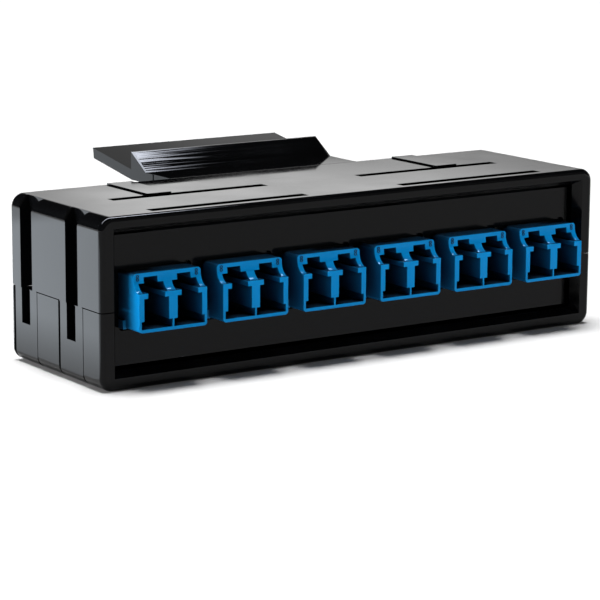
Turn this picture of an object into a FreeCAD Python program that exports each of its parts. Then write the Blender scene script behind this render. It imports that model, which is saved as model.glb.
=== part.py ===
"""Fibre adapter panel: a split black frame holding six duplex adapters, with a release latch.

Millimetres. X runs along the front, the front faces -Y, Z is up, the floor is Z = 0
and the origin is the middle of the underside of the frame.
"""
import math
import os

import FreeCAD
import Part

# Frame: walls, depth and height. Its width follows from the row of adapters.
FRAME_D = 30.0
FRAME_H = 28.6
EDGE_R = 2.3
FRONT_R = 0.9
WALL_SIDE = 2.4
WALL_TOP = 1.9
WALL_BOTTOM = 2.15
BEVEL_D = 1.8
BEVEL_IN = 0.95
PARTING_Z = 13.1
SEAM = 0.16

# Guide grooves in both sides, measured from the front and from the back
GROOVE_FRONT = 9.6
GROOVE_BACK = 4.9
GROOVE_W = 4.0
GROOVE_LOW_W = 2.9
GROOVE_DEEP = 2.05
GROOVE_FOOT = 7.0
GROOVE_SKIN = 1.0
FLARE = 0.9

# Snap legs that hang from the cover around the lower ends of the grooves
LEG_W = 7.5
LEG_T = 1.2
LEG_SHIFT = 0.45
LEG_SET = 0.12
LEG_GAP = 0.4
LEG_BACK_GAP = 0.15
BARB_W = 3.0
BARB_OUT = 0.45
BARB_H = 0.9
BARB_Z = 3.6
BARB_FIT = 0.1

# Slots and rails on the top
SLOT_IN = 9.85
SLOT_LEN = 30.65
SLOT_W = 2.15
SLOT_FRONT = 2.9
SLOT_PITCH = 12.5
RAIL_X = 30.4
RAIL_W = 4.7
RAIL_H = 0.25

# Adapter plate behind the front opening
RECESS = 2.5
PAD_T = 2.5
RIM_T = 1.2
MOAT = 1.5
RIM_IN = 0.9
RIM_FIT = 0.08
APERTURE_FIT = 0.06
RELIEF = 0.55
RELIEF_DEEP = 0.8
RELIEF_R = 0.8

# Row of adapters
ADAPTERS = 6
PITCH = 15.9
END_MARGIN = 2.7
ADAPTER_PROUD = 3.3
ADAPTER_RISE = 9.9

# One duplex adapter, from the outside in and from the bottom up
PORT_W = 4.65
POST_W = 1.6
CHEEK_T = 0.95
CHEEK_LOW_T = 0.47
RIB_T = 0.32
PORT_FLOOR = 0.55
PORT_STEP = 1.3
PLUG_H = 5.0
LEDGE_T = 0.85
LEDGE_IN = 0.75
POCKET_H = 1.35
WINDOW_H = 0.97
WINDOW_W = 2.55
TOP_BAR = 0.68
CORNER_R = 0.6
SWEEP_D = 1.6
SWEEP_H = 2.15
SWEEP_FLAT = 0.35
WEB_T = 1.6
HALF_GAP = 0.02
STOP_OUT = 0.45
STOP_L = 2.2
STOP_H = 1.5

# Spring clip and fibre sleeves of an adapter
CLIP_T = 0.35
CLIP_L = 2.6
CLIP_FIT = 0.05
CLIP_TAB = 0.5
CLIP_DROP = 6.5
CLIP_END = 1.2
TAB_H = 2.6
SLEEVE_R = 0.8
SLEEVE_BORE = 0.625
SLEEVE_L = 6.8
SLEEVE_SLIT = 0.2
SLEEVE_FIT = 0.05
HOLDER_T = 0.5
HOLDER_LIP = 0.6
LIP_FIT = 0.1

# Release latch
LATCH_W = 40.1
LATCH_T = 1.9
TONGUE_T = 1.2
TONGUE_IN = 0.12
TONGUE_L = 5.9
HAUNCH_L = 3.9
RAMP_START = 8.4
RAMP_RUN = 4.4
RAMP_LAND = 0.6
RAMP_H = 3.15
PLATE_L = 13.8
PLATE_RISE = 2.25
HINGE_FIT = 0.06
HINGE_SIDE = 0.2

ADAPTER_W = 2 * CHEEK_T + 2 * PORT_W + POST_W
PORT_PITCH = PORT_W + POST_W
LEDGE_Z = PORT_FLOOR + PLUG_H
SHOULDER_Z = LEDGE_Z + LEDGE_T
BLOCK_Z = SHOULDER_Z + POCKET_H
WINDOW_Z = BLOCK_Z + WINDOW_H
ADAPTER_H = WINDOW_Z + TOP_BAR
AXIS_Z = PORT_FLOOR + PLUG_H / 2
SETBACK = SWEEP_FLAT + SWEEP_D
INNER_W = (ADAPTERS - 1) * PITCH + ADAPTER_W + 2 * END_MARGIN
FRAME_W = INNER_W + 2 * WALL_SIDE
HALF_W = FRAME_W / 2
HALF_D = FRAME_D / 2
FRONT_Y = -HALF_D
ROOF_Z = FRAME_H - WALL_TOP
PAD_Y = FRONT_Y + RECESS
RIM_Y = PAD_Y + PAD_T
PLATE_BACK = RIM_Y + RIM_T
ADAPTER_Y = FRONT_Y - ADAPTER_PROUD
CLIP_Y = PLATE_BACK + CLIP_FIT - ADAPTER_Y
HALF_L = CLIP_Y + CLIP_L + CLIP_FIT + CLIP_END
GROOVE_YS = [FRONT_Y + GROOVE_FRONT, HALF_D - GROOVE_BACK]
SLOT_YS = [FRONT_Y + SLOT_FRONT, FRONT_Y + SLOT_FRONT + SLOT_PITCH]


def box(x0, x1, y0, y1, z0, z1):
    """Block between two corners."""
    return Part.makeBox(x1 - x0, y1 - y0, z1 - z0, FreeCAD.Vector(x0, y0, z0))


def side_box(side, x0, x1, y0, y1, z0, z1):
    """Block on the left (-1) or right (+1), with X measured outward from the middle."""
    if side > 0:
        return box(x0, x1, y0, y1, z0, z1)
    return box(-x1, -x0, y0, y1, z0, z1)


def joined(solids):
    """One solid from several that overlap."""
    return solids[0].multiFuse(solids[1:]).removeSplitter()


def without(solid, cuts):
    """A solid with every one of the cuts taken out."""
    return solid.cut(Part.makeCompound(cuts))


def leg_zone(grow_y, grow_x):
    """Room taken by the four snap legs, up to the parting line."""
    half = LEG_W / 2 + grow_y
    inner = HALF_W - LEG_T - grow_x
    zones = []
    for side in (-1, 1):
        for groove in GROOVE_YS:
            y = groove + LEG_SHIFT
            zones.append(side_box(side, inner, HALF_W + 1, y - half, y + half, -1, PARTING_Z + SEAM))
    return zones


def leg_skins():
    """Thin layer taken off the outside of the legs."""
    half = LEG_W / 2 + LEG_GAP
    skins = []
    for side in (-1, 1):
        for groove in GROOVE_YS:
            y = groove + LEG_SHIFT
            skins.append(side_box(side, HALF_W - LEG_SET, HALF_W + 1, y - half, y + half,
                                  -1, PARTING_Z - SEAM / 2))
    return skins


def barbs(grow):
    """Catches on the inner faces of the legs."""
    half = BARB_W / 2 + grow
    inner = HALF_W - LEG_T - BARB_OUT - grow
    outer = HALF_W - LEG_T + LEG_BACK_GAP
    found = []
    for side in (-1, 1):
        for groove in GROOVE_YS:
            y = groove + LEG_SHIFT
            found.append(side_box(side, inner, outer, y - half, y + half,
                                  BARB_Z - grow, BARB_Z + BARB_H + grow))
    return found


def groove_cuts(side, y):
    """One guide groove: wide above the parting line, narrow in the leg, flared at the top."""
    inner = HALF_W - GROOVE_DEEP
    outer = HALF_W + 1
    front = y - GROOVE_W / 2
    back = y + GROOVE_W / 2
    upper = side_box(side, inner, outer, front, back, PARTING_Z, FRAME_H + 1)
    lower = side_box(side, inner, outer, back - GROOVE_LOW_W, back, GROOVE_FOOT, PARTING_Z + SEAM)
    outline = [
        (front, FRAME_H - EDGE_R),
        (back, FRAME_H - EDGE_R),
        (back + FLARE, FRAME_H),
        (front - FLARE, FRAME_H),
    ]
    ring = [FreeCAD.Vector(side * inner, py, pz) for py, pz in outline]
    face = Part.Face(Part.makePolygon(ring + [ring[0]]))
    return [upper, lower, face.extrude(FreeCAD.Vector(side * (outer - inner), 0, 0))]


def rim_block(grow):
    """Rim of the adapter plate, let into the walls all round."""
    x = INNER_W / 2 + RIM_IN + grow
    low = WALL_BOTTOM - RIM_IN - grow
    high = ROOF_Z + RIM_IN + grow
    return box(-x, x, RIM_Y - grow, PLATE_BACK + grow, low, high)


def opening_ring(y, inset):
    """Outline of the frame's opening at one depth, drawn in from the walls."""
    x = INNER_W / 2 - inset
    low = WALL_BOTTOM + inset
    high = ROOF_Z - inset
    corners = [FreeCAD.Vector(px, y, pz) for px, pz in ((-x, low), (x, low), (x, high), (-x, high))]
    return Part.makePolygon(corners + [corners[0]])


def opening_cuts():
    """The frame's opening: drawn in behind the front edge by a bevel, then straight to the back."""
    inner = INNER_W / 2
    bevel_back = FRONT_Y + BEVEL_D
    bevel = Part.makeLoft([opening_ring(FRONT_Y, 0), opening_ring(bevel_back, BEVEL_IN)], True)
    return [bevel, box(-inner, inner, bevel_back, HALF_D + 1, WALL_BOTTOM, ROOF_Z)]


def frame_shell():
    """Cover and base as one rounded tube, before they are parted."""
    block = box(-HALF_W, HALF_W, FRONT_Y, HALF_D, 0, FRAME_H)
    long_edges = [edge for edge in block.Edges if edge.BoundBox.YLength > FRAME_D / 2]
    block = block.makeFillet(EDGE_R, long_edges)
    front_edges = [edge for edge in block.Edges if edge.BoundBox.YMax < FRONT_Y + FRONT_R]
    block = block.makeFillet(FRONT_R, front_edges)
    solids = [without(block, opening_cuts())]
    cuts = [rim_block(RIM_FIT)]
    boss_in = HALF_W - GROOVE_DEEP - GROOVE_SKIN
    boss_half = GROOVE_W / 2 + GROOVE_SKIN
    boss_foot = GROOVE_FOOT - GROOVE_SKIN
    rail_in = RAIL_X - RAIL_W / 2
    rail_front = SLOT_YS[-1] + SLOT_W / 2
    for side in (-1, 1):
        for y in GROOVE_YS:
            solids.append(side_box(side, boss_in, HALF_W - GROOVE_DEEP / 2, y - boss_half, y + boss_half,
                                   boss_foot, FRAME_H - EDGE_R))
            cuts += groove_cuts(side, y)
        for y in SLOT_YS:
            cuts.append(side_box(side, SLOT_IN, SLOT_IN + SLOT_LEN, y - SLOT_W / 2, y + SLOT_W / 2,
                                 ROOF_Z - 1, FRAME_H + 1))
        solids.append(side_box(side, rail_in, rail_in + RAIL_W, rail_front, HALF_D,
                               FRAME_H - WALL_TOP / 2, FRAME_H + RAIL_H))
    return without(joined(solids), cuts)


def hinge_seat():
    """Half-round seat for the latch in the rear edge of the cover's roof."""
    length = LATCH_W - 2 * TONGUE_IN + 2 * HINGE_SIDE
    start = FreeCAD.Vector(-length / 2, HALF_D, FRAME_H - TONGUE_T / 2)
    return Part.makeCylinder(TONGUE_T / 2 + HINGE_FIT, length, start, FreeCAD.Vector(1, 0, 0))


def top_cover(shell):
    """Upper half of the frame with its snap legs."""
    above = box(-FRAME_W, FRAME_W, -FRAME_D, FRAME_D, PARTING_Z + SEAM / 2, 2 * FRAME_H)
    upper = shell.common(above)
    legs = without(shell.common(Part.makeCompound(leg_zone(0, 0))), leg_skins())
    return joined([upper] + legs.Solids + barbs(0)).cut(hinge_seat())


def base(shell):
    """Lower half of the frame, cleared for the legs."""
    below = box(-FRAME_W, FRAME_W, -FRAME_D, FRAME_D, -1, PARTING_Z - SEAM / 2)
    return without(shell.common(below), leg_zone(LEG_GAP, LEG_BACK_GAP) + barbs(BARB_FIT))


def adapter_xs():
    """Middles of the adapters along the front."""
    return [(i - (ADAPTERS - 1) / 2) * PITCH for i in range(ADAPTERS)]


def relief(middle):
    """Shallow pocket with rounded corners around one opening of the plate."""
    half = ADAPTER_W / 2 + RELIEF
    z0 = ADAPTER_RISE - RELIEF
    z1 = ADAPTER_RISE + ADAPTER_H + RELIEF
    pocket = box(middle - half, middle + half, PAD_Y - 1, PAD_Y + RELIEF_DEEP, z0, z1)
    corners = [edge for edge in pocket.Edges if edge.BoundBox.YLength > RELIEF_DEEP]
    return pocket.makeFillet(RELIEF_R, corners)


def adapter_plate():
    """Plate with one opening per adapter, raised in front and thin at its rim."""
    x = INNER_W / 2 - MOAT
    pad = box(-x, x, PAD_Y, PLATE_BACK, WALL_BOTTOM + MOAT, ROOF_Z - MOAT)
    half = ADAPTER_W / 2 + APERTURE_FIT
    z0 = ADAPTER_RISE - APERTURE_FIT
    z1 = ADAPTER_RISE + ADAPTER_H + APERTURE_FIT
    holes = [box(mid - half, mid + half, PAD_Y - 1, PLATE_BACK + 1, z0, z1) for mid in adapter_xs()]
    return without(joined([pad, rim_block(0)]), holes + [relief(mid) for mid in adapter_xs()])


def adapter_body():
    """Outside of one adapter half: low front, top bar set back behind a hollow sweep."""
    end = HALF_L - HALF_GAP
    x0 = -ADAPTER_W / 2
    sweep_z = SHOULDER_Z + SWEEP_H
    bend_r = (SWEEP_D ** 2 + SWEEP_H ** 2) / (2 * SWEEP_D)
    half_turn = math.asin(SWEEP_H / bend_r) / 2
    outline = [
        (SWEEP_FLAT, SHOULDER_Z),
        (0, SHOULDER_Z),
        (0, 0),
        (end, 0),
        (end, ADAPTER_H),
        (SETBACK, ADAPTER_H),
        (SETBACK, sweep_z),
    ]
    ring = [FreeCAD.Vector(x0, y, z) for y, z in outline]
    middle = FreeCAD.Vector(x0, SETBACK - bend_r * (1 - math.cos(half_turn)),
                            sweep_z - bend_r * math.sin(half_turn))
    sweep = Part.Arc(ring[-1], middle, ring[0]).toShape()
    face = Part.Face(Part.Wire(Part.makePolygon(ring).Edges + [sweep]))
    body = face.extrude(FreeCAD.Vector(ADAPTER_W, 0, 0))
    corners = []
    for edge in body.Edges:
        reach = edge.BoundBox
        outer = reach.ZMax < CORNER_R or reach.ZMin > ADAPTER_H - CORNER_R
        if outer and reach.YLength > HALF_L / 2:
            corners.append(edge)
    return body.makeFillet(CORNER_R, corners)


def port_cuts(side):
    """Plug channel, latch neck, latch pocket and latch window of one port."""
    middle = side * PORT_PITCH / 2
    half = PORT_W / 2
    neck = half - LEDGE_IN
    gate = WINDOW_W / 2
    deep = HALF_L - WEB_T
    cheek = ADAPTER_W / 2 - CHEEK_LOW_T
    return [
        box(middle - half, middle + half, -1, deep, PORT_FLOOR, LEDGE_Z),
        side_box(side, RIB_T / 2, cheek, -1, deep, PORT_FLOOR, PORT_FLOOR + PORT_STEP),
        box(middle - neck, middle + neck, -1, deep, PORT_FLOOR, BLOCK_Z),
        box(middle - half, middle + half, -1, deep, SHOULDER_Z, BLOCK_Z),
        box(middle - gate, middle + gate, -1, deep, SHOULDER_Z, WINDOW_Z),
    ]


def rod(side, y0, y1, radius):
    """Round bar on the fibre axis of one port."""
    start = FreeCAD.Vector(side * PORT_PITCH / 2, y0, AXIS_Z)
    return Part.makeCylinder(radius, y1 - y0, start, FreeCAD.Vector(0, 1, 0))


def adapter_half():
    """Half of an adapter: two ports, and in each a half-length holder for the fibre sleeve."""
    bore = SLEEVE_R + SLEEVE_FIT
    seat = HALF_L - SLEEVE_L / 2 - SLEEVE_FIT
    tip = seat - HOLDER_LIP
    solids = [without(adapter_body(), port_cuts(-1) + port_cuts(1))]
    bores = []
    for side in (-1, 1):
        solids.append(rod(side, tip, HALF_L - HALF_GAP, bore + HOLDER_T))
        bores.append(rod(side, seat, HALF_L + 1, bore))
        bores.append(rod(side, tip - 1, seat + 1, SLEEVE_BORE + LIP_FIT))
    return without(joined(solids), bores)


def clip_seat():
    """Shallow band cut for the spring clip: over the top and down both sides."""
    deep = CLIP_T + 2 * CLIP_FIT
    half = ADAPTER_W / 2
    y0 = CLIP_Y - CLIP_FIT
    y1 = CLIP_Y + CLIP_L + CLIP_FIT
    foot = ADAPTER_H - CLIP_DROP - CLIP_FIT
    whole = box(-half - 1, half + 1, y0, y1, foot, ADAPTER_H + 1)
    return whole.cut(box(-half + deep, half - deep, y0 - 1, y1 + 1, foot - 1, ADAPTER_H - deep))


def retaining_clip():
    """Sheet-metal clip with a tab on each side that bears on the back of the plate."""
    half = ADAPTER_W / 2 - CLIP_FIT
    top = ADAPTER_H - CLIP_FIT
    foot = ADAPTER_H - CLIP_DROP
    y1 = CLIP_Y + CLIP_L
    whole = box(-half, half, CLIP_Y, y1, foot, top)
    core = box(-half + CLIP_T, half - CLIP_T, CLIP_Y - 1, y1 + 1, foot - 1, top - CLIP_T)
    solids = [whole.cut(core)]
    for side in (-1, 1):
        outline = [
            (half - CLIP_T / 2, y1 - CLIP_T),
            (half - CLIP_T / 2, CLIP_Y),
            (half + CLIP_TAB, CLIP_Y),
            (half + CLIP_TAB, CLIP_Y + CLIP_T),
        ]
        ring = [FreeCAD.Vector(side * x, y, foot + CLIP_T) for x, y in outline]
        face = Part.Face(Part.makePolygon(ring + [ring[0]]))
        solids.append(face.extrude(FreeCAD.Vector(0, 0, TAB_H)))
    return joined(solids)


def adapter_front():
    """Front half: a stop on each side that bears on the plate's relief, the clip's seat behind it."""
    half = ADAPTER_W / 2
    stop_end = PAD_Y + RELIEF_DEEP - ADAPTER_Y - HALF_GAP
    solids = [adapter_half().cut(clip_seat())]
    for side in (-1, 1):
        solids.append(side_box(side, half - CHEEK_LOW_T / 2, half + STOP_OUT, stop_end - STOP_L, stop_end,
                               0, STOP_H))
    return joined(solids)


def adapter_rear():
    """Rear half, the same two ports turned to the back."""
    return adapter_half().mirror(FreeCAD.Vector(0, HALF_L, 0), FreeCAD.Vector(0, 1, 0))


def split_sleeve(side):
    """Slit ceramic sleeve that lines up two fibre ends."""
    y0 = HALF_L - SLEEVE_L / 2
    y1 = HALF_L + SLEEVE_L / 2
    x = side * PORT_PITCH / 2
    slit = box(x - SLEEVE_SLIT / 2, x + SLEEVE_SLIT / 2, y0 - 1, y1 + 1, AXIS_Z, AXIS_Z + 2 * SLEEVE_R)
    return without(rod(side, y0, y1, SLEEVE_R), [rod(side, y0 - 1, y1 + 1, SLEEVE_BORE), slit])


def release_latch():
    """Springy tongue, thicker behind, with a catch ramp and a raised finger plate."""
    top = FRAME_H
    under = top - LATCH_T
    x0 = -LATCH_W / 2
    ramp_end = RAMP_START + RAMP_RUN
    catch = ramp_end + RAMP_LAND
    end = catch + PLATE_L
    lean = LATCH_T * PLATE_RISE / PLATE_L
    thick = [
        (TONGUE_L, top),
        (RAMP_START, top),
        (ramp_end, top + RAMP_H),
        (catch, top + RAMP_H),
        (catch, top),
        (end, top + PLATE_RISE),
        (end - lean, under + PLATE_RISE),
        (catch - lean / 2, under),
        (TONGUE_L + HAUNCH_L, under),
        (TONGUE_L, top - TONGUE_T),
    ]
    ring = [FreeCAD.Vector(x0, HALF_D + y, z) for y, z in thick]
    body = Part.Face(Part.makePolygon(ring + [ring[0]])).extrude(FreeCAD.Vector(LATCH_W, 0, 0))
    x1 = LATCH_W / 2 - TONGUE_IN
    tongue = box(-x1, x1, HALF_D, HALF_D + TONGUE_L, top - TONGUE_T, top)
    start = FreeCAD.Vector(-x1, HALF_D, top - TONGUE_T / 2)
    knuckle = Part.makeCylinder(TONGUE_T / 2, 2 * x1, start, FreeCAD.Vector(1, 0, 0))
    return joined([body, tongue, knuckle])


def main():
    os.makedirs("parts", exist_ok=True)
    shell = frame_shell()
    pieces = {
        "top_cover": top_cover(shell),
        "base": base(shell),
        "adapter_plate": adapter_plate(),
        "release_latch": release_latch(),
    }
    kit = {
        "front": adapter_front(),
        "rear": adapter_rear(),
        "sleeve_left": split_sleeve(-1),
        "sleeve_right": split_sleeve(1),
        "clip": retaining_clip(),
    }
    for number, x in enumerate(adapter_xs(), 1):
        place = FreeCAD.Vector(x, ADAPTER_Y, ADAPTER_RISE)
        for name, shape in kit.items():
            pieces["adapter_%d_%s" % (number, name)] = shape.translated(place)
    for name, shape in pieces.items():
        shape.exportStep("parts/%s.step" % name)
        print(name, len(shape.Solids), round(shape.Volume, 2), shape.isValid())


main()
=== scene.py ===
import math

import bmesh
import bpy
from mathutils import Matrix, Vector


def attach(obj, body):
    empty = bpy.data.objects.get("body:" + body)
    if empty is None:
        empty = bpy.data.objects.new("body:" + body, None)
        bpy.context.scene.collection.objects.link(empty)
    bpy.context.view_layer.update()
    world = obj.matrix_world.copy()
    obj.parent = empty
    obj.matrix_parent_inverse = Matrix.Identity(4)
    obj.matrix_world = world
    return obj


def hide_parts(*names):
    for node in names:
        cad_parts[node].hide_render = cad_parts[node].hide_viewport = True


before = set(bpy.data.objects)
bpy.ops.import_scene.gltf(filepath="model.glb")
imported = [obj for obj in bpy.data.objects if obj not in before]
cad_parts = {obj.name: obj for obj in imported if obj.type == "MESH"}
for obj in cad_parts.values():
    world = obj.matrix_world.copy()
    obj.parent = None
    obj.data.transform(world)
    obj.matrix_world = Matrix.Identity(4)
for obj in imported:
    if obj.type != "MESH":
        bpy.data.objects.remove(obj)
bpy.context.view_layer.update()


# Frame: a base and the cover that snaps onto it, four hooked legs holding the two together.
# Both are injection mouldings in black ABS from a polished tool, so the faces are glossy
# and every edge is very slightly eased.
frame_ease = 0.00008
abs_dark = (0.0010, 0.0011, 0.0013)
abs_light = (0.0019, 0.0020, 0.0023)


def eased_copy(node, piece_name, ease, trim=None):
    """Copy of a moulding with its sharp edges rounded by a fraction of a millimetre."""
    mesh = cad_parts[node].data.copy()
    mesh.name = piece_name
    shape = bmesh.new()
    shape.from_mesh(mesh)
    bmesh.ops.remove_doubles(shape, verts=shape.verts, dist=2e-6)
    bmesh.ops.dissolve_limit(shape, angle_limit=math.radians(0.4), verts=shape.verts, edges=shape.edges)
    if trim:
        trim(shape)
    shape.to_mesh(mesh)
    shape.free()
    mesh.materials.clear()
    mesh.shade_smooth()
    sharp_piece = bpy.data.objects.new(piece_name + "_sharp", mesh)
    bpy.context.scene.collection.objects.link(sharp_piece)
    bevel = sharp_piece.modifiers.new("edges", "BEVEL")
    bevel.width = ease
    bevel.segments = 2
    bevel.limit_method = "ANGLE"
    bevel.angle_limit = math.radians(32)
    bevel.use_clamp_overlap = True
    flats = sharp_piece.modifiers.new("flats", "WEIGHTED_NORMAL")
    flats.mode = "FACE_AREA"
    flats.weight = 80
    flats.keep_sharp = True
    finished = bpy.data.meshes.new_from_object(
        sharp_piece.evaluated_get(bpy.context.evaluated_depsgraph_get()))
    bpy.data.objects.remove(sharp_piece)
    finished.name = piece_name
    piece = bpy.data.objects.new(piece_name, finished)
    bpy.context.scene.collection.objects.link(piece)
    return piece


def node_at(tree, kind, x, y, **settings):
    """A shader or geometry node at a place in its tree, with its settings."""
    made = tree.nodes.new(kind)
    made.location = (x, y)
    for name, value in settings.items():
        setattr(made, name, value)
    return made


def grain(tree, x, y, detail, scale=1.0):
    """Noise over a surface."""
    made = node_at(tree, "ShaderNodeTexNoise", x, y)
    made.inputs["Scale"].default_value = scale
    made.inputs["Detail"].default_value = detail
    return made


def ranged(tree, x, y, given=(0.0, 1.0), wanted=(0.0, 1.0), soft=False):
    """Map one range of values to another, held at both ends, and eased into them if soft."""
    made = node_at(tree, "ShaderNodeMapRange", x, y)
    if soft:
        made.interpolation_type = "SMOOTHSTEP"
    for name, value in zip(("From Min", "From Max", "To Min", "To Max"), (*given, *wanted)):
        made.inputs[name].default_value = value
    return made


def wire(tree, *runs):
    """Link nodes. A run is a node, its output, the node that it feeds and that node's input."""
    for source, output, target, entry in runs:
        tree.links.new(source.outputs[output], target.inputs[entry])


# Skin of a moulding: fine orange peel, lines left by polishing, slow changes of gloss
# and a few hairline rubs. Heights are in micrometres.
skin = bpy.data.node_groups.new("moulded_skin", "ShaderNodeTree")
for name in ("Peel Scale", "Peel Height", "Line Height", "Gloss Low", "Gloss High"):
    skin.interface.new_socket(name, in_out="INPUT", socket_type="NodeSocketFloat")
for name in ("Roughness", "Height", "Cloud"):
    skin.interface.new_socket(name, in_out="OUTPUT", socket_type="NodeSocketFloat")
skin_in = node_at(skin, "NodeGroupInput", -1000, 0)
skin_out = node_at(skin, "NodeGroupOutput", 500, 0)
skin_place = node_at(skin, "ShaderNodeTexCoord", -1000, -250)
peel = grain(skin, -600, -300, detail=3.0)
peel_height = node_at(skin, "ShaderNodeMath", -350, -300, operation="MULTIPLY")
line_stretch = node_at(skin, "ShaderNodeMapping", -800, -600)
line_stretch.inputs["Scale"].default_value = (15.0, 430.0, 430.0)
line = grain(skin, -600, -600, detail=2.5)
line_height = node_at(skin, "ShaderNodeMath", -350, -600, operation="MULTIPLY")
height_sum = node_at(skin, "ShaderNodeMath", -100, -400, operation="ADD")
cloud = grain(skin, -600, 100, detail=5.0, scale=70.0)
rub_turn = node_at(skin, "ShaderNodeMapping", -800, 420)
rub_turn.inputs["Rotation"].default_value = (0.3, 0.2, 0.7)
rub_turn.inputs["Scale"].default_value = (30.0, 900.0, 900.0)
rub = grain(skin, -600, 420, detail=2.0)
rub_mask = ranged(skin, -350, 420, given=(0.68, 0.80), wanted=(0.0, 0.05))
gloss = ranged(skin, -350, 100, given=(0.35, 0.68))
gloss_sum = node_at(skin, "ShaderNodeMath", 100, 150, operation="ADD")
wire(skin,
     (skin_place, "Object", peel, "Vector"),
     (skin_place, "Object", line_stretch, "Vector"),
     (skin_place, "Object", cloud, "Vector"),
     (skin_place, "Object", rub_turn, "Vector"),
     (line_stretch, "Vector", line, "Vector"),
     (rub_turn, "Vector", rub, "Vector"),
     (rub, "Fac", rub_mask, "Value"),
     (skin_in, "Peel Scale", peel, "Scale"),
     (peel, "Fac", peel_height, 0),
     (skin_in, "Peel Height", peel_height, 1),
     (line, "Fac", line_height, 0),
     (skin_in, "Line Height", line_height, 1),
     (peel_height, "Value", height_sum, 0),
     (line_height, "Value", height_sum, 1),
     (cloud, "Fac", gloss, "Value"),
     (skin_in, "Gloss Low", gloss, "To Min"),
     (skin_in, "Gloss High", gloss, "To Max"),
     (gloss, "Result", gloss_sum, 0),
     (rub_mask, "Result", gloss_sum, 1),
     (gloss_sum, "Value", skin_out, "Roughness"),
     (height_sum, "Value", skin_out, "Height"),
     (cloud, "Fac", skin_out, "Cloud"))


def moulded(name, dark, light, ior, peel_scale, peel_micron, roughness, line_micron=0.0):
    """Moulded plastic: a colour that drifts slightly, with the skin's gloss and fine relief."""
    material = bpy.data.materials.new(name)
    material.use_nodes = True
    tree = material.node_tree
    surface = tree.nodes["Principled BSDF"]
    surface.inputs["IOR"].default_value = ior
    own = node_at(tree, "ShaderNodeGroup", -700, 0, node_tree=skin)
    own.inputs["Peel Scale"].default_value = peel_scale
    own.inputs["Peel Height"].default_value = peel_micron
    own.inputs["Line Height"].default_value = line_micron
    own.inputs["Gloss Low"].default_value, own.inputs["Gloss High"].default_value = roughness
    tint = node_at(tree, "ShaderNodeMix", -400, 200, data_type="RGBA")
    tint.inputs["A"].default_value = (*dark, 1)
    tint.inputs["B"].default_value = (*light, 1)
    bump = node_at(tree, "ShaderNodeBump", -300, -250)
    bump.inputs["Strength"].default_value = 1.0
    bump.inputs["Distance"].default_value = 1e-6
    wire(tree,
         (own, "Cloud", tint, "Factor"),
         (tint, "Result", surface, "Base Color"),
         (own, "Roughness", surface, "Roughness"),
         (own, "Height", bump, "Height"),
         (bump, "Normal", surface, "Normal"))
    return material


frame_black = moulded("frame_black_gloss", abs_dark, abs_light, ior=1.21,
                      peel_scale=700.0, peel_micron=0.3, roughness=(0.05, 0.10))
for node in ("base", "top_cover"):
    shell = eased_copy(node, "dressed_" + node, frame_ease)
    shell.data.materials.append(frame_black)
    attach(shell, "frame")
    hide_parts(node)


# Adapter plate: one black moulding with six openings, its rim trapped between base and cover.
# It is the same glossy ABS as the frame, with a little more orange peel on its broad face.
plate_ease = 0.00012
plate_black = moulded("plate_black_gloss", (0.0008, 0.0010, 0.0012), (0.0016, 0.0018, 0.0021), ior=1.205,
                      peel_scale=900.0, peel_micron=0.8, roughness=(0.10, 0.16))
plate = eased_copy("adapter_plate", "dressed_adapter_plate", plate_ease)
plate.data.materials.append(plate_black)
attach(plate, "frame")
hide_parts("adapter_plate")


# Adapters: six duplex bodies in blue PBT, each a front and a rear half welded at the middle.
# Stops at the sides bear on the relief of the plate from the front. Painted shade darkens the blue
# almost to black in the ports, between the bodies, and most of all on faces that look up at the roof.
adapter_ease = 0.00007
adapter_blue = moulded("adapter_blue_pbt", (0.0004, 0.195, 0.50), (0.0008, 0.228, 0.575), ior=1.33,
                       peel_scale=1800.0, peel_micron=0.5, roughness=(0.12, 0.20))
blue_tree = adapter_blue.node_tree
blue_surface = blue_tree.nodes["Principled BSDF"]
blue_surface.inputs["Specular Tint"].default_value = (0.15, 0.60, 1.0, 1)
# Painted shade: occlusion darkens the blue towards near black, more strongly on up-facing faces under the
# roof.
blue_painted_cavity_shade = node_at(blue_tree, "ShaderNodeAmbientOcclusion", -500, 500, samples=12)
blue_painted_cavity_shade.inputs["Distance"].default_value = 0.0175
blue_normal = node_at(blue_tree, "ShaderNodeNewGeometry", -900, 300)
blue_upward = node_at(blue_tree, "ShaderNodeSeparateXYZ", -700, 300)
roof_painted_shade_power = ranged(blue_tree, -500, 300, given=(0.1, 0.95), wanted=(1.0, 3.0))
painted_shade_amount = node_at(blue_tree, "ShaderNodeMath", -300, 500, operation="POWER")
blue_painted_shade_mix = node_at(blue_tree, "ShaderNodeMix", -100, 400, data_type="RGBA")
# Near-black colour of the painted shade.
blue_painted_shade_mix.inputs["A"].default_value = (0.008, 0.012, 0.014, 1)
blue_tree.links.new(blue_surface.inputs["Base Color"].links[0].from_socket, blue_painted_shade_mix.inputs["B"])
wire(blue_tree,
     (blue_normal, "Normal", blue_upward, "Vector"),
     (blue_upward, "Z", roof_painted_shade_power, "Value"),
     (blue_painted_cavity_shade, "AO", painted_shade_amount, 0),
     (roof_painted_shade_power, "Result", painted_shade_amount, 1),
     (painted_shade_amount, "Value", blue_painted_shade_mix, "Factor"),
     (blue_painted_shade_mix, "Result", blue_surface, "Base Color"))
for number in range(1, 7):
    for half in ("front", "rear"):
        node = "adapter_%d_%s" % (number, half)
        body = eased_copy(node, "dressed_" + node, adapter_ease)
        body.data.materials.append(adapter_blue)
        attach(body, "frame")
        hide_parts(node)
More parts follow.
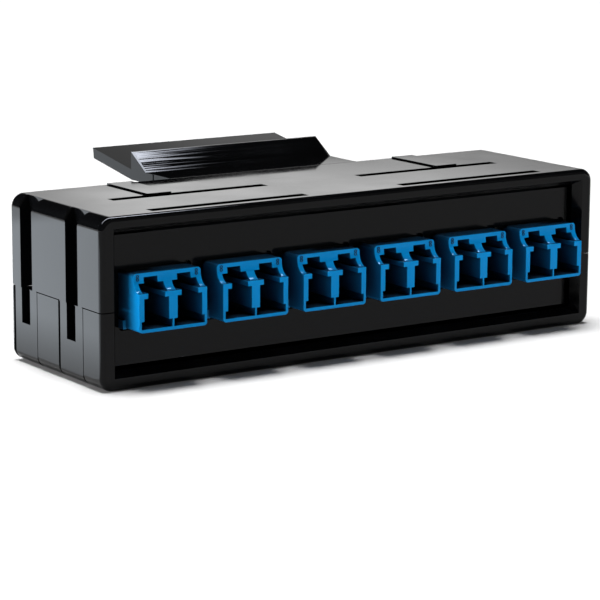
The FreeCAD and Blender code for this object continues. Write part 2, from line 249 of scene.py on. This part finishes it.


# Moulded marks: two small raised rings, one above the other, at both upper corners of each
# adapter's front, moulded with the body and left rough. Their deeper blue is painted shade.
mark_setback = 0.00192
mark_drop = 0.00072
# The marks' deeper blue is painted shade for the shadow in the rings.
mark_painted_shade_blue = moulded("adapter_mark_blue", (0.0005, 0.020, 0.055), (0.0008, 0.030, 0.080), ior=1.30,
                    peel_scale=2400.0, peel_micron=0.5, roughness=(0.40, 0.50))
ring_tree = bpy.data.node_groups.new("ring_marks", "GeometryNodeTree")
for name, value in (("Ring Radius", 0.00022), ("Bead Radius", 0.00007),
                    ("Ring Pitch", 0.00050), ("Span", 0.0111)):
    ring_tree.interface.new_socket(name, in_out="INPUT", socket_type="NodeSocketFloat").default_value = value
ring_tree.interface.new_socket("Material", in_out="INPUT", socket_type="NodeSocketMaterial")
ring_tree.interface.new_socket("Geometry", in_out="OUTPUT", socket_type="NodeSocketGeometry")
ring_in = node_at(ring_tree, "NodeGroupInput", -900, 0)
ring_out = node_at(ring_tree, "NodeGroupOutput", 700, 0)
ring_path = node_at(ring_tree, "GeometryNodeCurvePrimitiveCircle", -650, 250)
ring_path.inputs["Resolution"].default_value = 24
bead_path = node_at(ring_tree, "GeometryNodeCurvePrimitiveCircle", -650, 50)
bead_path.inputs["Resolution"].default_value = 8
ring_mesh = node_at(ring_tree, "GeometryNodeCurveToMesh", -400, 200)
ring_places = node_at(ring_tree, "GeometryNodeMeshGrid", -400, -100)
ring_places.inputs["Vertices X"].default_value = 2
ring_places.inputs["Vertices Y"].default_value = 2
ring_each = node_at(ring_tree, "GeometryNodeInstanceOnPoints", -150, 100)
ring_stand = node_at(ring_tree, "GeometryNodeTransform", 50, 100)
ring_stand.inputs["Rotation"].default_value = (math.radians(90), 0.0, 0.0)
ring_real = node_at(ring_tree, "GeometryNodeRealizeInstances", 220, 100)
ring_smooth = node_at(ring_tree, "GeometryNodeSetShadeSmooth", 380, 100)
ring_coat = node_at(ring_tree, "GeometryNodeSetMaterial", 540, 100)
wire(ring_tree,
     (ring_in, "Ring Radius", ring_path, "Radius"),
     (ring_in, "Bead Radius", bead_path, "Radius"),
     (ring_path, "Curve", ring_mesh, "Curve"),
     (bead_path, "Curve", ring_mesh, "Profile Curve"),
     (ring_in, "Span", ring_places, "Size X"),
     (ring_in, "Ring Pitch", ring_places, "Size Y"),
     (ring_places, "Mesh", ring_each, "Points"),
     (ring_mesh, "Mesh", ring_each, "Instance"),
     (ring_each, "Instances", ring_stand, "Geometry"),
     (ring_stand, "Geometry", ring_real, "Geometry"),
     (ring_real, "Geometry", ring_smooth, "Geometry"),
     (ring_smooth, "Geometry", ring_coat, "Geometry"),
     (ring_in, "Material", ring_coat, "Material"),
     (ring_coat, "Geometry", ring_out, "Geometry"))
ring_maker = bpy.data.objects.new("ring_maker", bpy.data.meshes.new("ring_maker"))
bpy.context.scene.collection.objects.link(ring_maker)
ring_step = ring_maker.modifiers.new("rings", "NODES")
ring_step.node_group = ring_tree
ring_sockets = {item.name: item.identifier
                for item in ring_tree.interface.items_tree if item.in_out == "INPUT"}
ring_step[ring_sockets["Material"]] = mark_painted_shade_blue
ring_shape = bpy.data.meshes.new_from_object(
    ring_maker.evaluated_get(bpy.context.evaluated_depsgraph_get()))
ring_maker.modifiers.remove(ring_step)
bpy.data.objects.remove(ring_maker)
for number in range(1, 7):
    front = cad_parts["adapter_%d_front" % number]
    corners = [front.matrix_world @ Vector(corner) for corner in front.bound_box]
    middle_x = (min(c.x for c in corners) + max(c.x for c in corners)) / 2
    face_y = min(c.y for c in corners) + mark_setback
    mark_z = max(c.z for c in corners) - mark_drop
    marks_mesh = ring_shape.copy()
    marks_mesh.name = "adapter_%d_marks" % number
    marks_mesh.transform(Matrix.Translation((middle_x, face_y, mark_z)))
    marks = bpy.data.objects.new(marks_mesh.name, marks_mesh)
    bpy.context.scene.collection.objects.link(marks)
    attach(marks, "frame")


# Alignment sleeves: slit tubes of white zirconia, ground and polished.
# Each lies loose in its holder, where the two halves of the adapter meet.
sleeve_white = moulded("zirconia_white", (0.74, 0.73, 0.69), (0.83, 0.82, 0.78), ior=1.9,
                       peel_scale=3000.0, peel_micron=0.2, roughness=(0.12, 0.18))
for number in range(1, 7):
    for side in ("left", "right"):
        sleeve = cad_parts["adapter_%d_sleeve_%s" % (number, side)]
        sleeve.data.materials.clear()
        sleeve.data.materials.append(sleeve_white)


# Spring clips: thin stainless strip folded over each adapter, its tabs sprung against the plate.
# The rolled strip keeps fine lines along its length.
clip_steel = bpy.data.materials.new("spring_steel_strip")
clip_steel.use_nodes = True
clip_tree = clip_steel.node_tree
clip_surface = clip_tree.nodes["Principled BSDF"]
clip_surface.inputs["Metallic"].default_value = 1.0
clip_place = node_at(clip_tree, "ShaderNodeTexCoord", -1000, 0)
clip_stretch = node_at(clip_tree, "ShaderNodeMapping", -800, 0)
clip_stretch.inputs["Scale"].default_value = (60.0, 5000.0, 60.0)
clip_lines = grain(clip_tree, -600, 0, detail=3.0)
clip_gloss = ranged(clip_tree, -350, -100, wanted=(0.24, 0.40))
clip_tint = node_at(clip_tree, "ShaderNodeMix", -350, 200, data_type="RGBA")
clip_tint.inputs["A"].default_value = (0.50, 0.50, 0.49, 1)
clip_tint.inputs["B"].default_value = (0.66, 0.66, 0.64, 1)
clip_bump = node_at(clip_tree, "ShaderNodeBump", -350, -350)
clip_bump.inputs["Distance"].default_value = 2e-6
wire(clip_tree,
     (clip_place, "Object", clip_stretch, "Vector"),
     (clip_stretch, "Vector", clip_lines, "Vector"),
     (clip_lines, "Fac", clip_gloss, "Value"),
     (clip_lines, "Fac", clip_tint, "Factor"),
     (clip_lines, "Fac", clip_bump, "Height"),
     (clip_gloss, "Result", clip_surface, "Roughness"),
     (clip_tint, "Result", clip_surface, "Base Color"),
     (clip_bump, "Normal", clip_surface, "Normal"))
for number in range(1, 7):
    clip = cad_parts["adapter_%d_clip" % number]
    clip.data.materials.clear()
    clip.data.materials.append(clip_steel)


# Release latch: a springy tongue with a catch ramp and a raised finger plate, pressed down to
# free the panel from its bay. The ramp was polished by hand, which left it slightly wavy,
# and its two ends have a narrow cut chamfer.
latch_ease = 0.0001
ramp_chamfer = 0.00034
ramp_facing = Vector((0.0, -0.582, 0.813))


def chamfer_ramp(shape):
    """Cut a narrow chamfer where the ramp meets the latch's two ends."""
    shape.normal_update()
    ends = []
    for edge in shape.edges:
        sides = [face.normal for face in edge.link_faces]
        if len(sides) == 2 and any(n.dot(ramp_facing) > 0.99 for n in sides):
            if any(abs(n.x) > 0.99 for n in sides):
                ends.append(edge)
    cut = bmesh.ops.bevel(shape, geom=ends, offset=ramp_chamfer, segments=1, affect="EDGES")
    for face in cut["faces"]:
        for edge in face.edges:
            edge.smooth = False


latch_black = moulded("latch_black_gloss", abs_dark, abs_light, ior=1.17,
                      peel_scale=500.0, peel_micron=0.4, roughness=(0.04, 0.08))
ramp_black = moulded("ramp_black_polished", abs_dark, abs_light, ior=1.205,
                     peel_scale=500.0, peel_micron=0.4, roughness=(0.03, 0.10), line_micron=300.0)
chamfer_black = moulded("chamfer_black_cut", abs_dark, abs_light, ior=1.25,
                        peel_scale=500.0, peel_micron=0.4, roughness=(0.03, 0.06))
latch = eased_copy("release_latch", "dressed_release_latch", latch_ease, trim=chamfer_ramp)
for finish in (latch_black, ramp_black, chamfer_black):
    latch.data.materials.append(finish)
ramp_finish = 1
chamfer_finish = 2
for face in latch.data.polygons:
    if face.normal.dot(ramp_facing) > 0.95:
        face.material_index = ramp_finish
    elif 0.3 < abs(face.normal.x) < 0.95 and face.normal.y < -0.2 and face.normal.z > 0.3:
        face.material_index = chamfer_finish
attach(latch, "latch")
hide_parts("release_latch")


# Floor: a plain pale sheet that the panel stands on. It keeps the panel's shadow,
# and a little light of its own brings it up to white for the camera and in reflections.
floor_reach = 4.0
floor_mesh = bpy.data.meshes.new("floor")
floor_mesh.from_pydata([(-floor_reach, -floor_reach, 0), (floor_reach, -floor_reach, 0),
                        (floor_reach, floor_reach, 0), (-floor_reach, floor_reach, 0)],
                       [], [(0, 1, 2, 3)])
floor = bpy.data.objects.new("floor", floor_mesh)
bpy.context.scene.collection.objects.link(floor)
floor_white = bpy.data.materials.new("floor_white")
floor_white.use_nodes = True
floor_tree = floor_white.node_tree
floor_surface = floor_tree.nodes["Principled BSDF"]
floor_surface.inputs["Roughness"].default_value = 0.9
floor_surface.inputs["Specular IOR Level"].default_value = 0.0
floor_surface.inputs["Emission Color"].default_value = (1, 1, 1, 1)
floor_tint = node_at(floor_tree, "ShaderNodeMix", -200, 100, data_type="RGBA")
floor_tint.inputs["A"].default_value = (0.70, 0.70, 0.70, 1)
floor_tint.inputs["B"].default_value = (0.90, 0.90, 0.90, 1)
floor_path = node_at(floor_tree, "ShaderNodeLightPath", -700, -300)
floor_seen = node_at(floor_tree, "ShaderNodeMath", -500, -300, operation="MAXIMUM")
floor_all = node_at(floor_tree, "ShaderNodeMath", -350, -300, operation="MAXIMUM")
floor_lift = node_at(floor_tree, "ShaderNodeMath", -200, -300, operation="MULTIPLY")
floor_lift.inputs[1].default_value = 0.01
wire(floor_tree,
     (floor_path, "Is Camera Ray", floor_seen, 0),
     (floor_path, "Is Glossy Ray", floor_seen, 1),
     (floor_seen, "Value", floor_all, 0),
     (floor_path, "Is Transmission Ray", floor_all, 1),
     (floor_all, "Value", floor_tint, "Factor"),
     (floor_tint, "Result", floor_surface, "Base Color"),
     (floor_all, "Value", floor_lift, 0),
     (floor_lift, "Value", floor_surface, "Emission Strength"))
floor_mesh.materials.append(floor_white)


# Studio light: a broad lamp above for the shadow, a long strip overhead that only shows in glossy
# faces, low soft lamps on the left and on the right, and a card on the floor behind on the left
# that the panel's side mirrors. Round them is a dark room with a white wall at its back.
def softbox(name, place, target, width, height, power, in_mirrors=True, in_light=True, tint=(1, 1, 1)):
    """Rectangular soft lamp that isn't in the picture itself."""
    lamp = bpy.data.lights.new(name, "AREA")
    lamp.color = tint
    lamp.shape = "RECTANGLE"
    lamp.size = width
    lamp.size_y = height
    lamp.energy = power
    made = bpy.data.objects.new(name, lamp)
    made.location = place
    made.rotation_euler = (Vector(target) - Vector(place)).to_track_quat("-Z", "Y").to_euler()
    made.visible_camera = False
    made.visible_glossy = in_mirrors
    made.visible_diffuse = in_light
    bpy.context.scene.collection.objects.link(made)
    return made


def fade_face(lamp, over_x, over_y, soft=False):
    """Dim a lamp over its own face: a range along X and one along Y, each with its strengths."""
    lamp.use_nodes = True
    tree = lamp.node_tree
    place = node_at(tree, "ShaderNodeNewGeometry", -800, 0)
    axes = node_at(tree, "ShaderNodeSeparateXYZ", -600, 0)
    along_x = ranged(tree, -400, 150, *over_x, soft=soft)
    along_y = ranged(tree, -400, -150, *over_y, soft=soft)
    fade = node_at(tree, "ShaderNodeMath", -200, 0, operation="MULTIPLY")
    wire(tree,
         (place, "Position", axes, "Vector"),
         (axes, "X", along_x, "Value"),
         (axes, "Y", along_y, "Value"),
         (along_x, "Result", fade, 0),
         (along_y, "Result", fade, 1),
         (fade, "Value", tree.nodes["Emission"], "Strength"))


overhead = bpy.data.lights.new("overhead", "SUN")
overhead.energy = 3.6
overhead.angle = math.radians(25.0)
overhead_lamp = bpy.data.objects.new("overhead", overhead)
overhead_lamp.rotation_euler = Vector((0.03, -0.08, -1.0)).to_track_quat("-Z", "Y").to_euler()
overhead_lamp.visible_glossy = False
bpy.context.scene.collection.objects.link(overhead_lamp)

strip = softbox("overhead_strip", (-0.125, 0.14, 1.0), (-0.125, 0.14, 0.0), width=1.65, height=0.22,
                power=72.0, in_light=False, tint=(0.92, 0.97, 1.1))
fade_face(strip.data, over_x=((0.52, 0.605), (1.0, 0.0)), over_y=((0.065, 0.165), (0.0, 1.0)), soft=True)
softbox("left_window", (-0.56, 0.135, 0.035), (-0.046, -0.018, 0.015), width=0.41, height=0.05,
        power=5.3, in_mirrors=False)
softbox("right_low", (0.56, -0.44, 0.016), (0.0, -0.018, 0.015), width=0.14, height=0.024,
        power=3.5, in_mirrors=False)
card = softbox("left_back_card", (-0.11375, 0.115, 0.001), (-0.11375, 0.115, 1.0), width=0.1225, height=0.25,
               power=0.395, tint=(0.9, 1.0, 1.1))
fade_face(card.data, over_x=((-0.0705, -0.0525), (1.0, 0.28)), over_y=((0.130, 0.142), (1.0, 0.5)))

world = bpy.data.worlds.new("studio")
bpy.context.scene.world = world
world.use_nodes = True
room = world.node_tree
room.nodes.clear()
room_out = node_at(room, "ShaderNodeOutputWorld", 900, 0)
room_way = node_at(room, "ShaderNodeTexCoord", -900, 0)
room_axes = node_at(room, "ShaderNodeSeparateXYZ", -700, 0)
wall_foot = ranged(room, -450, 150, given=(0.139, 0.153), wanted=(0.29, 1.0), soft=True)
wall_head = ranged(room, -450, -150, given=(0.20, 0.56), wanted=(1.0, 0.0), soft=True)
wall_back = ranged(room, -450, -450, given=(0.0, 0.5), soft=True)
wall_lean = node_at(room, "ShaderNodeMath", -650, -750, operation="MULTIPLY_ADD")
wall_lean.inputs[1].default_value = -0.125
wall_side = node_at(room, "ShaderNodeValToRGB", -450, -750)
wall_side.color_ramp.interpolation = "EASE"
wall_tones = wall_side.color_ramp.elements
wall_tones[0].position = 0.34
wall_tones[0].color = (0.02, 0.02, 0.02, 1)
wall_tones[1].position = 0.625
wall_tones[1].color = (0.66, 0.66, 0.66, 1)
for across, tone in ((0.40, 0.58), (0.445, 0.58), (0.484, 1.0), (0.58, 0.95)):
    wall_tones.new(across).color = (tone, tone, tone, 1)
wall_span = node_at(room, "ShaderNodeMath", -200, -500, operation="MULTIPLY")
wall_band = node_at(room, "ShaderNodeMath", -200, 0, operation="MULTIPLY")
wall_all = node_at(room, "ShaderNodeMath", -50, -200, operation="MULTIPLY")
wall_lit = ranged(room, 120, -100, wanted=(0.01, 1.98))
wall_front = ranged(room, 120, -450, given=(-0.75, -0.35), wanted=(0.30, 0.0), soft=True)
room_walls = node_at(room, "ShaderNodeMath", 280, -250, operation="ADD")
room_path = node_at(room, "ShaderNodeLightPath", 120, 400)
room_mirror = node_at(room, "ShaderNodeMix", 400, -150, data_type="FLOAT")
room_mirror.inputs["A"].default_value = 0.012
room_seen = node_at(room, "ShaderNodeMath", 400, 300, operation="MAXIMUM")
room_pick = node_at(room, "ShaderNodeMix", 600, 0, data_type="FLOAT")
room_pick.inputs["B"].default_value = 1.0
room_light = node_at(room, "ShaderNodeBackground", 750, 0)
wire(room,
     (room_way, "Generated", room_axes, "Vector"),
     (room_axes, "Z", wall_foot, "Value"),
     (room_axes, "Z", wall_head, "Value"),
     (room_axes, "Y", wall_back, "Value"),
     (wall_foot, "Result", wall_band, 0),
     (wall_head, "Result", wall_band, 1),
     (room_axes, "Z", wall_lean, 0),
     (room_axes, "X", wall_lean, 2),
     (wall_lean, "Value", wall_side, "Fac"),
     (wall_back, "Result", wall_span, 0),
     (wall_side, "Color", wall_span, 1),
     (wall_band, "Value", wall_all, 0),
     (wall_span, "Value", wall_all, 1),
     (wall_all, "Value", wall_lit, "Value"),
     (room_axes, "Y", wall_front, "Value"),
     (wall_lit, "Result", room_walls, 0),
     (wall_front, "Result", room_walls, 1),
     (room_path, "Is Glossy Ray", room_mirror, "Factor"),
     (room_walls, "Value", room_mirror, "B"),
     (room_path, "Is Camera Ray", room_seen, 0),
     (room_path, "Is Transmission Ray", room_seen, 1),
     (room_mirror, "Result", room_pick, "A"),
     (room_seen, "Value", room_pick, "Factor"),
     (room_pick, "Result", room_light, "Strength"),
     (room_light, "Background", room_out, "Surface"))


# Camera: a long lens close to the floor, in front and to the left, that looks a little down.
# Yaw, pitch, roll and place were fitted to corners of the panel in the photograph.
camera_data = bpy.data.cameras.new("camera")
camera_data.sensor_fit = "HORIZONTAL"
camera_data.sensor_width = 36.0
camera_data.lens = 150.16
camera_data.clip_start = 0.01
camera = bpy.data.objects.new("camera", camera_data)
bpy.context.scene.collection.objects.link(camera)
yaw, pitch, roll = (math.radians(a) for a in (-34.334, 11.422, 0.344))
ahead = Vector((-math.sin(yaw) * math.cos(pitch), math.cos(yaw) * math.cos(pitch), -math.sin(pitch)))
right = Vector((math.cos(yaw), math.sin(yaw), 0.0))
above = right.cross(ahead)
turned_right = right * math.cos(roll) + above * math.sin(roll)
turned_up = above * math.cos(roll) - right * math.sin(roll)
stance = Matrix((turned_right, turned_up, -ahead)).transposed().to_4x4()
stance.translation = Vector((-0.245658, -0.355862, 0.094667))
camera.matrix_world = stance
bpy.context.scene.camera = camera

bpy.context.scene.view_settings.view_transform = "Standard"
